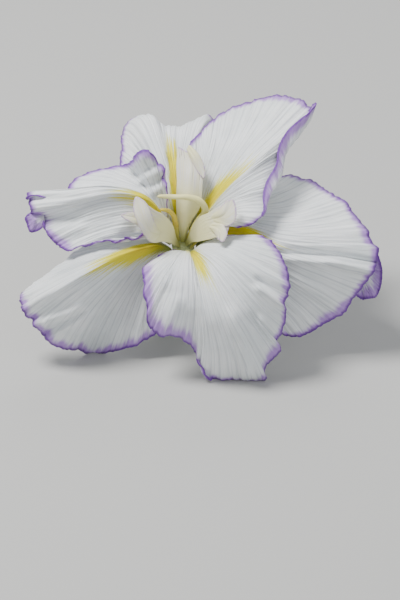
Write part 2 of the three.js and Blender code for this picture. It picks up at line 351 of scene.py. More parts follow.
class Tissue:
    """A material of living plant tissue, with the nodes that colour it."""

    def __init__(self, name, roughness, sheen=0.0, subsurface=0.0):
        self.material = bpy.data.materials.new(name)
        self.material.use_nodes = True
        self.tree = self.material.node_tree
        self.surface = self.tree.nodes["Principled BSDF"]
        self.surface.inputs["Roughness"].default_value = roughness
        self.surface.inputs["Sheen Weight"].default_value = sheen
        self.surface.inputs["Subsurface Weight"].default_value = subsurface
        self.surface.inputs["Subsurface Radius"].default_value = (0.6, 0.5, 0.4)
        self.surface.inputs["Subsurface Scale"].default_value = 0.001

    def node(self, kind, settings, inputs, out=0):
        made = self.tree.nodes.new(kind)
        for key, value in settings.items():
            setattr(made, key, value)
        for key, value in inputs.items():
            socket = made.inputs[key]
            if isinstance(value, Wire):
                self.tree.links.new(value.socket, socket)
            elif isinstance(value, tuple) and len(value) == 3 and socket.type == "RGBA":
                socket.default_value = (*value, 1)
            else:
                socket.default_value = value
        return Wire(self, made.outputs[out])

    def feed(self, name, wire):
        self.tree.links.new(wire.socket, self.surface.inputs[name])

    def fact(self, name):
        """The three numbers of one of the mesh's own attributes."""
        read = self.node("ShaderNodeAttribute", {"attribute_name": name}, {}, out="Vector")
        return [self.node("ShaderNodeSeparateXYZ", {}, {0: read}, out=axis) for axis in ("X", "Y", "Z")]

    def blend(self, share, first, second):
        return self.node("ShaderNodeMix", {"data_type": "RGBA"}, {0: share, 6: first, 7: second}, out=2)

    def smooth(self, value, low, high):
        inputs = {"Value": value, "From Min": low, "From Max": high}
        return self.node("ShaderNodeMapRange", {"interpolation_type": "SMOOTHSTEP"}, inputs)

    def vector(self, x, y, z=0.0):
        return self.node("ShaderNodeCombineXYZ", {}, {0: x, 1: y, 2: z})

    def noise(self, at, scale=1.0, detail=2.0, roughness=0.5):
        inputs = {"Vector": at, "Scale": scale, "Detail": detail, "Roughness": roughness}
        return self.node("ShaderNodeTexNoise", {}, inputs)

    def place(self):
        return self.node("ShaderNodeTexCoord", {}, {}, out="Object")

    def bump(self, height, distance, strength=1.0):
        inputs = {"Height": height, "Distance": distance, "Strength": strength}
        self.feed("Normal", self.node("ShaderNodeBump", {}, inputs))


WHITE = (0.88, 0.90, 0.91)
COOL_WHITE = (0.76, 0.80, 0.81)
VEIN = (0.42, 0.45, 0.50)
LILAC = (0.38, 0.17, 0.60)
VIOLET = (0.14, 0.02, 0.32)
YELLOW = (0.80, 0.70, 0.0)
LIME = (0.68, 0.70, 0.03)
GOLD = (0.72, 0.48, 0.0)
OLIVE = (0.26, 0.28, 0.0)
THROAT_GREEN = (0.24, 0.31, 0.04)
CREAM = (0.82, 0.79, 0.46)
CREAM_GREEN = (0.50, 0.50, 0.13)
CREST = (0.80, 0.78, 0.82)


def petal_tissue():
    """White with fine fanning veins, a violet margin that feathers inwards, and a yellow flame."""
    tissue = Tissue("petal tissue", 0.52, sheen=0.12, subsurface=0.06)
    t, s, flush = tissue.fact("ribs")
    margin, along, flame = tissue.fact("span")
    place_on = tissue.place()
    rays = tissue.noise(tissue.vector(t * 46, s * 1.6), detail=3, roughness=0.6)
    fine_rays = tissue.noise(tissue.vector(t * 150, s * 3), detail=2)
    patches = tissue.noise(place_on, scale=55, detail=3)

    white = tissue.blend(tissue.smooth(patches, 0.3, 0.7), COOL_WHITE, WHITE)
    drift = tissue.noise(tissue.vector(t * 5, s * 3, 4.0), detail=1) * 0.035
    lines = tissue.node("ShaderNodeMath", {"operation": "SINE"}, {0: (t + drift) * 150})
    forks = tissue.node("ShaderNodeMath", {"operation": "SINE"}, {0: (t + drift) * 301})
    line_mask = tissue.smooth(lines, 0.72, 1.0)
    fork_mask = tissue.smooth(forks, 0.72, 1.0) * tissue.smooth(s, 0.42, 0.62)
    veins = (line_mask + fork_mask * 0.8) * tissue.smooth(along, 8, 26) * tissue.smooth(fine_rays, 0.25, 0.65)
    color = tissue.blend(veins * 0.55, white, VEIN)

    reach = 3.0 + flush * 5.0 + rays * 4.6
    band = 1 - tissue.smooth(margin / reach, 0.15, 1.0)
    feather = (1 - tissue.smooth(margin / (4.5 + flush * 13), 0.0, 1.0)) * tissue.smooth(rays, 0.40, 0.64)
    tint = tissue.smooth(band * 0.75 + feather * 0.6 + flush * 0.1, 0.0, 1.0)
    color = tissue.blend(tint * 0.9, color, LILAC)
    rim = 1 - tissue.smooth(margin + fine_rays * 1.2, 1.1, 2.8)
    color = tissue.blend(rim * 0.92, color, VIOLET)

    burn = flame + (fine_rays - 0.5) * 44 + (rays - 0.5) * 26
    halo = tissue.smooth(burn, -4.0, 1.5)
    core = tissue.smooth(burn, 0.0, 4.0)
    color = tissue.blend(halo * 0.9, color, LIME)
    color = tissue.blend(core, color, YELLOW)
    heart = tissue.smooth(flame, 8.0, 24.0) * tissue.smooth(rays + fine_rays, 0.85, 1.15)
    color = tissue.blend(heart * 0.7, color, GOLD)
    foot = (1 - tissue.smooth(along, 6, 20)) * halo
    color = tissue.blend(foot * 0.85, color, OLIVE)
    color = tissue.blend((1 - tissue.smooth(along, 2, 9)) * halo, color, THROAT_GREEN)
    tissue.feed("Base Color", color)

    crimp = tissue.noise(tissue.vector(t * 90, s * 9, 9.0), detail=5, roughness=0.68)
    grain = tissue.noise(place_on, scale=900, detail=2)
    height = crimp * 0.55 + lines * 0.09 + forks * 0.05 + grain * 0.12
    tissue.bump(height, 0.0009, 0.75)
    tissue.feed("Roughness", 0.46 + crimp * 0.14)
    return tissue.material


def style_tissue():
    """Cream, greener towards the foot, with pale lilac-grey crest lobes."""
    tissue = Tissue("style tissue", 0.42, sheen=0.08, subsurface=0.08)
    t, s, crest = tissue.fact("ribs")
    margin, along, _ = tissue.fact("span")
    streaks = tissue.noise(tissue.vector(t * 30, s * 2.2), detail=3)
    place_on = tissue.place()
    color = tissue.blend(tissue.smooth(along + streaks * 4, 3, 14), CREAM_GREEN, CREAM)
    color = tissue.blend(crest * tissue.smooth(streaks, 0.2, 0.7) * 0.85, color, CREST)
    rim = (1 - tissue.smooth(margin, 0.3, 1.3)) * crest * tissue.smooth(streaks, 0.3, 0.6)
    color = tissue.blend(rim * 0.75, color, LILAC)
    tissue.feed("Base Color", color)
    grain = tissue.noise(place_on, scale=1100, detail=2)
    tissue.bump(streaks * 0.7 + grain * 0.15, 0.0005, 0.5)
    tissue.feed("Roughness", 0.36 + streaks * 0.16)
    return tissue.material


def limb_tissue(name, low, high, speckle, roughness, ribs=0.0, change=(0.2, 0.7)):
    """Tissue of a round organ: one colour at the foot, another at the end, with specks and fine ribs."""
    tissue = Tissue(name, roughness, subsurface=0.05)
    around, s, _ = tissue.fact("ribs")
    place_on = tissue.place()
    mottle = tissue.noise(place_on, scale=420, detail=4, roughness=0.6)
    color = tissue.blend(tissue.smooth(s, *change), low, high)
    color = tissue.blend(tissue.smooth(mottle, 0.5, 0.72) * 0.55, color, speckle)
    tissue.feed("Base Color", color)
    strands = tissue.noise(tissue.vector(around * 26, s * 3), detail=3)
    tissue.bump(strands * (0.4 + ribs) + mottle * 0.35, 0.0004, 0.6)
    tissue.feed("Roughness", roughness - 0.06 + mottle * 0.14)
    return tissue.material


def leaf_tissue():
    """Waxy green with parallel veins, paler to the margin and brown and papery at the tip."""
    tissue = Tissue("bract tissue", 0.42)
    t, s, _ = tissue.fact("ribs")
    margin, _, _ = tissue.fact("span")
    place_on = tissue.place()
    mottle = tissue.noise(place_on, scale=260, detail=4, roughness=0.6)
    strands = tissue.noise(tissue.vector(t * 34, s * 1.2), detail=3, roughness=0.6)
    color = tissue.blend(tissue.smooth(strands, 0.3, 0.7), (0.07, 0.17, 0.035), (0.15, 0.29, 0.06))
    color = tissue.blend((1 - tissue.smooth(margin, 0.0, 1.3)) * 0.7, color, (0.42, 0.44, 0.20))
    color = tissue.blend(tissue.smooth(s + mottle * 0.12, 0.94, 1.06) * 0.8, color, (0.30, 0.21, 0.09))
    tissue.feed("Base Color", color)
    tissue.bump(strands * 0.8 + mottle * 0.2, 0.0006, 0.7)
    tissue.feed("Roughness", 0.34 + mottle * 0.2)
    return tissue.material


petal_skin = petal_tissue()
style_skin = style_tissue()
pale_stamen = limb_tissue("pale stamen", (0.58, 0.55, 0.12), (0.82, 0.78, 0.36), (0.74, 0.64, 0.20), 0.55)
gold_stamen = limb_tissue("gold stamen", (0.60, 0.56, 0.14), (0.66, 0.52, 0.07), (0.60, 0.36, 0.03), 0.7)
tube_skin = limb_tissue(
    "tube tissue", (0.55, 0.60, 0.30), (0.14, 0.25, 0.05), (0.10, 0.18, 0.04), 0.42, 0.5, (0.0, 0.6)
)
ovary_skin = limb_tissue(
    "ovary tissue", (0.15, 0.27, 0.06), (0.10, 0.20, 0.04), (0.20, 0.30, 0.09), 0.42, 0.5
)
stem_skin = limb_tissue("stem tissue", (0.12, 0.22, 0.05), (0.09, 0.18, 0.04), (0.16, 0.25, 0.07), 0.4, 0.6)
cut_skin = limb_tissue("cut stem tissue", (0.50, 0.55, 0.30), (0.50, 0.55, 0.30), (0.30, 0.38, 0.16), 0.6)
leaf_skin = leaf_tissue()

# Petals. Their margins are listed from the foot outwards, on the two sides of the tip.

PETALS = {
    "inner_petal_front": {
        "camber": 3,
        "midrib": [
            [1.9, -4.6, 0], [4.5, -4.5, 11], [10, -14, 20], [17, -32, 15], [23.5, -50, -2],
            [27, -64.5, -23.5],
        ],
        "left": [
            [-0.5, -2.6, 2], [-3.5, -2.3, 6], [-6.6, -3.1, 9], [-9.7, -4.9, 11.5], [-12.3, -5.9, 13],
            [-15.4, -8.3, 14.3], [-17.8, -10.3, 14.8], [-18.8, -12.9, 15.4], [-18.2, -16, 14.4],
            [-17.7, -19, 14.4],
            [-18.4, -24, 12.6], [-17, -27, 11], [-16.6, -31.6, 8.5], [-16.8, -35.8, 5.5], [-15.4, -38.9, 2.5],
            [-13.3, -41, 0.5], [-10.5, -42.9, -1.5], [-7, -42.4, -1.8], [-3.5, -43.1, -3.2],
            [-0.4, -43.8, -4],
            [2.2, -45.9, -6], [4.3, -47.7, -7.6], [5.7, -50.8, -10.5], [6.4, -53.4, -12], [8.2, -54.2, -13.5],
            [8.3, -57, -15.5], [9.5, -60, -18.5], [12.6, -62.3, -21], [16.3, -63.5, -22.2],
            [20.4, -63.7, -22.8],
            [23.5, -63.5, -22.6],
        ],
        "right": [
            [6, -2, 2], [12, 1.2, 7], [18, 3.4, 11], [23, 4.6, 14.5], [27.9, 4.2, 17], [30.3, 3.2, 18],
            [33.4, 2.6, 19.6], [36.5, 3.3, 21], [39.1, 2.4, 21.4], [42, 0.3, 21.2], [44.8, -3.6, 21],
            [47.1, -8.3, 20.3], [48.7, -12.4, 19.2], [49.6, -16, 17.8], [49.4, -20.2, 16.2],
            [48.2, -24.4, 13.6],
            [47, -27.3, 11.4], [47.9, -30.5, 8.6], [47.8, -34, 5.2], [46.6, -39.5, 0.4], [45.3, -43, -3],
            [43.3, -45.2, -4.6], [45.2, -47.7, -7.2], [44.6, -50.8, -9.6], [42.5, -52.8, -11.6],
            [40, -56, -14.6],
            [38.2, -58.8, -17], [38.9, -61.7, -19.8], [38.4, -64, -21.8], [36, -65.5, -23.6],
            [31.8, -65, -23.6],
        ],
        "folds": [
            ([(32, -19), (47, -28.5)], 2.6, 1.7), ([(32, -15), (49, -24)], -2.2, 1.8),
            ([(30, -32), (41, -46.5)], -2.4, 2.0), ([(34, -32), (45, -47)], 1.8, 2.0),
            ([(20, -27), (28, -45), (29, -60)], 2.4, 2.8), ([(14, -36), (18, -58)], -1.3, 3.0),
            ([(-6, -18), (-15, -36)], -1.2, 3.5), ([(-1, -22), (-5, -41)], 1.4, 3.2),
            ([(4, -30), (6, -47)], -1.0, 2.6),
        ],
        "flushes": [
            ((-18.8, -12.9), (6, -52), 1.0), ((-9.7, -4.9), (-18.8, -12.9), 0.45),
            ((44, -48), (36, -65), 0.5), ((36.5, 3.3), (47, -27), 0.25),
        ],
        "rolls": [((7, -54), (12, -62), 0.7, 1.6, 1)],
        "flame": (33, 0.34),
        "ruffle": (1.1, 0.35),
    },
    "inner_petal_left": {
        "camber": 1.5,
        "gather": 2.2,
        "midrib": [
            [-6, 1.4, 0], [-8, 10.5, 15], [-16, 20.5, 27], [-32, 23.5, 31], [-52, 20, 27], [-71.5, 17, 18],
        ],
        "left": [
            [-5.5, 6, 3], [-7, 11, 11], [-7.6, 16, 18], [-7.8, 21, 24], [-7.7, 23.5, 26.5], [-7.4, 27, 29],
            [-7.9, 30, 31], [-9.6, 31.4, 31], [-8.6, 34.6, 34], [-9.4, 36.9, 35.6], [-11.6, 37.9, 35.4],
            [-12.2, 39.6, 36.6], [-13.7, 41.8, 37.6], [-16, 43.8, 38.4], [-18.8, 44.2, 37.6],
            [-20.6, 43.2, 35.6],
            [-22.7, 41.4, 31.5], [-25.5, 38.6, 25], [-29.5, 37.4, 20.5], [-34, 36.7, 20], [-37.5, 35.6, 19.6],
            [-42, 35.1, 21], [-45.4, 33, 20.4], [-48.8, 32, 20.4], [-51.6, 30, 20], [-53.8, 27, 20.2],
            [-55.8, 23.6, 21], [-60, 24.1, 22], [-65.2, 24.6, 22], [-70, 24.8, 21], [-73, 24.5, 19.6],
        ],
        "right": [
            [-6.5, 0.2, 2], [-10, 2.4, 8.5], [-14.5, 4.2, 14], [-18.7, 4.8, 17], [-21, 3.3, 17.4],
            [-23.5, 2, 18],
            [-27, 2.2, 19], [-31.2, 1.1, 18.6], [-34.6, 2, 18.8], [-38.6, 1.1, 17.6], [-42, 0.9, 17],
            [-44.5, -1, 15.6], [-48, -1.4, 14.8], [-51, -2.6, 13.8], [-53.2, -3.4, 13], [-56.2, -2.2, 12.2],
            [-59, -0.3, 12], [-62.4, 3.1, 11.4], [-64.6, 6.5, 11.6], [-66.2, 10, 12.2], [-68.8, 13, 13],
            [-71, 14.4, 14.4],
        ],
        "folds": [
            ([(-44, 12), (-68, 12.5)], -1.6, 2.4), ([(-50, 17.5), (-70, 16.8)], 1.5, 2.0),
            ([(-44, 9), (-62, 4)], 1.4, 2.6), ([(-22, 26), (-8.5, 31)], -1.8, 1.7),
            ([(-25, 31), (-11, 38)], -1.8, 1.7),
            ([(-22, 29), (-8.6, 34.6)], 1.2, 1.9), ([(-27, 34), (-15, 43)], 1.4, 2.0),
            ([(-20, 22), (-8, 27)], 1.2, 1.8),
            ([(-30, 28), (-48, 31)], 1.2, 2.6), ([(-28, 32), (-38, 36)], -0.8, 2.0),
            ([(-24, 14), (-34, 3)], 1.0, 3.0), ([(-20, 12), (-25, 3)], -0.9, 2.4),
        ],
        "flushes": [((-7.7, 23), (-20, 43), 0.4), ((-65, 7), (-71, 14.4), 1.0), ((-44, -1), (-62, 3), 0.35)],
        "rolls": [((-58, 24), (-70, 24.4), 0.7, 1.2, -1), ((-65, 7), (-70, 12), 0.7, 1.6, 1)],
        "flame": (40, 0.30),
        "ruffle": (1.0, 0.35),
    },
    "inner_petal_right": {
        "camber": 2,
        "midrib": [[4.4, 3.8, 0], [9, 12, 10.5], [17, 23, 22], [31, 37, 31], [46, 51, 32], [61, 64.5, 27]],
        "left": [
            [2.6, 6, 2], [3, 14, 10], [2.5, 22, 16], [2.3, 30, 20], [2.3, 38, 22], [2.4, 44, 23],
            [3.4, 48.5, 23],
            [5.8, 51.3, 22.4], [8.4, 54, 21.4], [10.7, 57.1, 20.6], [13.4, 58.6, 19.4], [15.5, 60.8, 19],
            [18.3, 63.4, 18], [20.6, 64.2, 17.4], [23, 65.6, 17.2], [27.3, 67.3, 17.2], [30.4, 69, 18],
            [32.8, 69.1, 18], [36, 70.6, 19.6], [38.4, 70.7, 19.8], [43.9, 71.9, 21.6], [46.6, 71.2, 21.8],
            [49.5, 71.2, 22.8], [52.6, 70, 23.2], [55.7, 69.8, 24.6], [58.2, 67.6, 25.4],
        ],
        "right": [
            [5.7, 2.8, 1.2], [13, 6.4, 9], [19, 8, 15], [24.2, 8.6, 20], [26.6, 8, 22.2], [30, 8.4, 24],
            [34.2, 10.1, 26], [38.2, 14, 27], [39.2, 18.4, 27], [40.8, 23.3, 26.4], [43.9, 28, 26],
            [46.2, 33.3, 26],
            [46.7, 38, 26.6], [47.7, 43, 27.3], [50.8, 47.5, 28], [54.3, 52.3, 28], [57.8, 57.2, 28],
            [60.3, 61.2, 28],
        ],
        "folds": [
            ([(24, 48), (30, 67)], -1.2, 2.2), ([(28, 50), (36, 69)], 1.2, 2.0),
            ([(33, 52), (42, 70)], -1.0, 2.0),
            ([(38, 54), (50, 70)], 1.1, 2.4), ([(12, 36), (13, 56)], 1.2, 3.0),
            ([(18, 42), (21, 62)], 1.0, 2.4),
            ([(28, 22), (38, 26)], 1.6, 4.0), ([(25, 14), (34, 13)], 1.4, 3.6),
            ([(8, 30), (6, 48)], -1.0, 2.6),
        ],
        "flushes": [((40, 70.8), (58.2, 67.6), 0.3), ((60, 61), (39, 17), 0.55)],
        "rolls": [((56.5, 56.5), (39.6, 18), 1.0, 4.6, 1, 0.1, 0.3)],
        "flame": (41, 0.34),
        "ruffle": (0.9, 0.35),
    },
    "outer_petal_top": {
        "camber": 0,
        "midrib": [[-0.8, 5.3, 0], [-2.5, 14, 10], [-4, 28, 17], [-6, 43, 19], [-8, 57, 12], [-9, 53, -14]],
        "left": [
            [-3.2, 5, 1], [-8, 10, 5], [-15, 17, 7], [-22, 24, 8], [-28, 32, 8], [-30.2, 38, 8],
            [-30.2, 42, 8.4],
            [-29.2, 47, 8], [-29.6, 51, 7.6], [-29.2, 54.5, 7], [-28, 58, 6], [-25.3, 61, 5],
            [-20.8, 62.1, 3],
            [-17, 60.8, -1], [-14, 56, -9],
        ],
        "right": [
            [1.6, 5.8, 1], [4, 12, 3], [9, 21, 5], [13, 31, 6], [15.5, 42, 6], [16, 52, 6], [14, 60, 8],
            [11.8, 62.4, 9],
            [9, 60.4, 4], [5, 57, -5], [0, 53, -11],
        ],
        "folds": [
            ([(4, 46), (11, 61)], 1.6, 2.0),
            ([(-10, 34), (-19, 58)], 1.6, 3.4), ([(-14, 30), (-26, 52)], -1.2, 3.0),
            ([(-1, 36), (3, 54)], -1.5, 2.4),
            ([(-6, 40), (-6, 55)], 1.0, 2.2), ([(-18, 34), (-28, 46)], 0.9, 2.4),
        ],
        "flushes": [((-28, 58), (-17, 60), 0.3)],
        "rolls": [],
        "flame": (46, 0.26),
        "ruffle": (0.9, 0.3),
    },
    "outer_petal_right": {
        "camber": 0,
        "midrib": [[6.2, -1, 0], [13, 4, 5.5], [27, 6.5, 14.5], [46, -2, 17], [68, -7, 12], [90, -11.5, 4]],
        "left": [
            [6.2, 0.6, 0.4], [14, 11, 3], [22, 20, 5], [31, 27, 5], [39, 31, 5], [46.5, 33, 5],
            [50.2, 33.7, 5.4],
            [53.6, 33.1, 6], [57, 31.9, 6.4], [60.4, 31.2, 7], [62.7, 30, 7], [65, 28.4, 7.4],
            [67.6, 26.4, 7.6],
            [70, 25, 8], [72.4, 22.6, 8.2], [74.5, 21.6, 8.6], [77.9, 19.5, 9], [79.6, 16.3, 9],
            [82.5, 13, 9],
            [85.3, 9.3, 9], [87.2, 6.6, 9], [87.9, 3.2, 8.8], [89.8, 0, 8.2], [91.8, -2.2, 7.4],
            [91.3, -5.3, 6.4],
        ],
        "right": [
            [5.8, -3.4, 0], [13, -10, -2], [23, -20, -7], [33, -31, -13], [42, -39, -18],
            [46.8, -42.2, -19.6],
            [51.3, -43.3, -20.4], [55.8, -43.1, -20.4], [60.4, -41.3, -19.4], [63.8, -39, -17.8],
            [67.7, -36.6, -16.2],
            [72.3, -34.2, -14.4], [75.4, -32.6, -13], [77.9, -28.7, -10.2], [80.2, -25.4, -7.6],
            [83.6, -21, -4.2],
            [87, -16.8, -1],
        ],
        "folds": [
            ([(42, -6.2), (59, -8.2), (71.7, -9.2), (90, -14)], 4.2, 2.0),
            ([(42, -3), (60, -4.8), (74, -5.6), (91, -8.5)], -3.4, 2.0),
            ([(48, 6), (82, 8)], 0.9, 4.0), ([(44, 14), (74, 20)], -0.8, 3.5),
            ([(48, -16), (78, -24)], 1.0, 4.0),
            ([(46, -22), (66, -36)], -0.9, 3.2), ([(40, 18), (58, 30)], 0.8, 3.0),
        ],
        "flushes": [((65, -38), (78, -28), 0.35), ((84, 12), (92, -3), 0.3)],
        "rolls": [],
        "flame": (40, 0.19),
        "ruffle": (1.0, 0.4),
    },
    "outer_petal_left": {
        "camber": 0,
        "midrib": [
            [-5.4, -2.6, 0], [-12, -0.5, 8], [-26, -4, 15], [-43, -12, 16], [-60, -22, 9], [-75, -31, -4],
        ],
        "left": [
            [-3.8, -4.6, 0], [-4.5, -14, -2], [-5, -24, -7], [-7, -33, -13], [-12.8, -42, -19.6],
            [-16.5, -44.4, -22],
            [-19.3, -45.6, -23.4], [-22, -47.6, -25], [-26.7, -48.8, -27.4], [-31.2, -50.1, -30.4],
            [-35.7, -50.8, -32.6], [-39.7, -52.4, -34.8], [-43.7, -52.9, -36], [-45.9, -51.8, -34],
            [-49.3, -49.8, -29.4], [-53.8, -49.5, -25.6], [-58.4, -48.5, -21.6], [-61.8, -47.3, -19.4],
            [-63.8, -45.1, -17.2], [-65.8, -42.8, -15.4], [-67.8, -39.4, -12.6], [-70.4, -37.8, -10.8],
            [-70.2, -35.4, -9], [-72.8, -34.3, -7.4],
        ],
        "right": [
            [-6.6, -0.8, 1], [-12, 2, 4], [-20, 4.5, 7], [-32, 4.5, 9], [-42, 1.5, 9], [-52, -3.8, 7],
            [-56, -8, 5.6], [-60, -10.5, 4], [-65.2, -14.6, 1.6], [-70, -18, -1], [-74, -21.2, -3],
            [-76.4, -22.6, -4], [-77, -25, -4.6], [-76.2, -28, -4.6],
        ],
        "folds": [
            ([(-42, -27), (-50, -31), (-70, -38)], 2.8, 1.8),
            ([(-34, -26), (-50, -36.5), (-64, -45.5)], 2.6, 1.8),
            ([(-42, -29.5), (-67, -42)], -2.4, 1.6), ([(-30, -30), (-44, -50)], -1.2, 2.4),
            ([(-26, -30), (-34, -49)], 1.1, 2.4),
            ([(-22, -30), (-27, -47)], -1.0, 2.0), ([(-17, -28), (-20, -45)], 1.0, 2.0),
            ([(-46, -18), (-70, -24)], 0.8, 3.6),
        ],
        "flushes": [
            ((-70, -38), (-46, -52), 0.35), ((-46, -52), (-13, -42), 0.35), ((-77, -25), (-70, -38), 0.3),
        ],
        "rolls": [((-30, 4.5), (-72, -19.5), 0.9, 2.6, -1)],
        "flame": (42, 0.28),
        "ruffle": (1.0, 0.4),
    },
}


FLAME_FOOT = 3


def flame_over(blade, reach, width):
    """How far, in mm, the yellow flame goes on past each point along its rib."""
    share = np.exp(-((np.abs(blade.t) / width) ** 1.6))
    return reach * share + FLAME_FOOT - blade.along


def add_petal(name, petal, seed, piece_name=None):
    gather = petal.get("gather", 1.0)
    blade = Blade(petal["midrib"], petal["left"], petal["right"], PETAL_FOOT, petal["camber"], gather)
    wide, fine = petal["ruffle"]
    for line, height, width in petal["folds"]:
        blade.fold(line, height, width)
    flush = np.zeros_like(blade.t)
    for first, last, amount in petal["flushes"]:
        flush = np.maximum(flush, amount * blade.stretch(first, last, 0.2))
    calm = np.ones_like(blade.t)
    for roll in petal["rolls"]:
        calm = calm * (1 - 0.8 * blade.roll(*roll))
    broad = waves(blade.t, seed, [(7, 0.6 * wide), (15, 0.5 * wide), (27, 0.25 * wide)])
    frill = waves(blade.t, seed + 50, [(46, 0.8 * fine), (75, 0.7 * fine), (120, 0.4 * fine)])
    wander = 0.02 * np.sin(5 * blade.s + seed)
    creases = waves(blade.t + wander, seed + 90, [(16, 0.10), (38, 0.26), (66, 0.26), (105, 0.15)])
    blade.push(blade.room * calm * (broad * blade.s**2.6 + frill * blade.s**9))
    blade.push(blade.room * creases * smooth(blade.s, 0.15, 0.6) * (0.4 + 0.6 * calm))
    outward = unit(np.gradient(blade.points, axis=1))
    notches = waves(blade.t, seed + 130, [(52, 0.22), (85, 0.20), (140, 0.14)])
    blade.push(blade.room * calm * notches * blade.s**7, along=outward)
    points = lie_on_surface(blade.points, CLEAR)
    flame = flame_over(blade, *petal["flame"])
    past_foot = petal.get("past_foot", 0)
    facts = {
        "ribs": np.stack([blade.t, blade.s, flush], axis=-1),
        "span": np.stack([blade.margin, blade.along + past_foot, flame - past_foot], axis=-1),
    }
    share = 0.45 + 0.55 * (1 - smooth(blade.s, 0.05, 0.6))
    title = piece_name or name + "_skin"
    skin(title, points, facts, petal_skin, name, thick=PETAL_THICK, thick_share=share)


for seed, (name, petal) in enumerate(PETALS.items()):
    add_petal(name, petal, 11 * seed + 3)

# Small flaps that turn over at a margin. Their feet lie far out on the petal, past its flame.
FLAPS = {
    "outer_petal_right": {
        "camber": 0,
        "midrib": [[78, -6, 2], [86, -12, -3], [93.4, -19, -8]],
        "left": [[79, -4, 2.6], [86, -2.6, 2], [91, -3.4, 1], [92.8, -7, -1], [93.9, -12, -3.6]],
        "right": [
            [77, -8, 1], [77.5, -16, -4], [80, -22, -9], [84, -25.6, -12], [87.6, -25.4, -12],
            [91.4, -24, -11.4],
        ],
        "folds": [([(84, -8), (90, -23)], 1.6, 1.6), ([(82, -12), (84, -24)], -1.2, 1.5)],
        "flushes": [((86, -2.6), (84, -25.6), 0.9)],
        "rolls": [],
        "flame": (0, 0.2),
        "past_foot": 60,
        "ruffle": (1.0, 0.5),
    },
    "inner_petal_left": {
        "camber": 0,
        "midrib": [[-65, 12.5, 14.6], [-70, 11.6, 14.4], [-73.2, 9.4, 12.4]],
        "left": [[-65.6, 15.6, 15], [-70.6, 15.4, 14.8], [-74, 12.8, 13.6]],
        "right": [[-64.6, 9.6, 13], [-67.2, 6.8, 11.8], [-71.4, 5.8, 11.4]],
        "folds": [([(-69, 13), (-71, 7)], 1.0, 1.0)],
        "flushes": [((-70, 15), (-67, 7), 0.9)],
        "rolls": [],
        "flame": (0, 0.2),
        "past_foot": 60,
        "ruffle": (1.0, 0.6),
    },
}
FLAP_SEED = 77

for seed, (name, flap) in enumerate(FLAPS.items(), FLAP_SEED):
    add_petal(name, flap, seed, name + "_flap")

# Style arms.

STYLE_ARMS = {
    "style_arm_top": [
        [[-0.9, 1.6, -1], [0, 1.6, -1], [0.9, 1.6, -1]],
        [[-1.2, 5, 4], [0.5, 5, 5], [1.7, 6, 5]],
        [[-2.3, 11, 10.5], [1.2, 12, 13.7], [4.3, 12, 13]],
        [[-2.8, 20, 18], [2.4, 21, 22.8], [8, 18, 19.3]],
        [[-2.6, 30, 24], [2.8, 31, 28.4], [9, 26, 25]],
        [[-3, 38, 27.8], [2.4, 38, 30], [9.2, 33, 28.5]],
        [[-2.2, 46, 30.6], [2.2, 43.5, 30.8], [5.8, 44.6, 31.2]],
    ],
    "style_arm_right": [
        [[1.3, 1, -1], [1.7, 0.3, -1], [2, -0.5, -1]],
        [[3.2, 4.2, 6], [3.9, 2.8, 6.2], [4.5, 1.2, 5.5]],
        [[5, 9, 14.5], [7.1, 5.2, 14.3], [7.5, 1.4, 11.5]],
        [[8, 12.8, 21.2], [11.6, 7.8, 21.4], [12, 2.2, 17.8]],
        [[12.5, 14.8, 26], [16.4, 9.4, 26], [15.8, 3, 23]],
        [[17.5, 17.6, 30.2], [19.8, 10.4, 28], [18, 2, 24.6]],
        [[23.2, 18, 32.2], [21.6, 8.6, 27.8], [20, 3.4, 25.8]],
    ],
    "style_arm_left": [
        [[-1.9, 0.2, -1], [-2, -0.6, -1], [-2, -1.4, -1]],
        [[-3.7, 3.4, 6], [-4.1, 1.8, 6], [-4.4, 0, 5]],
        [[-5.2, 9, 15.5], [-6.6, 5, 13.4], [-6.7, 0.8, 10.5]],
        [[-8.8, 13.6, 25], [-11, 7.6, 20.8], [-10.5, 1.2, 17]],
        [[-12.5, 15.3, 28.6], [-15.6, 9, 25.4], [-14, 0.8, 20.3]],
        [[-16.5, 18, 32], [-19.4, 12, 29], [-19, 6.6, 25.4]],
        [[-20.8, 20.6, 34.4], [-21, 14, 30.2], [-25.5, 11.8, 29]],
    ],
}

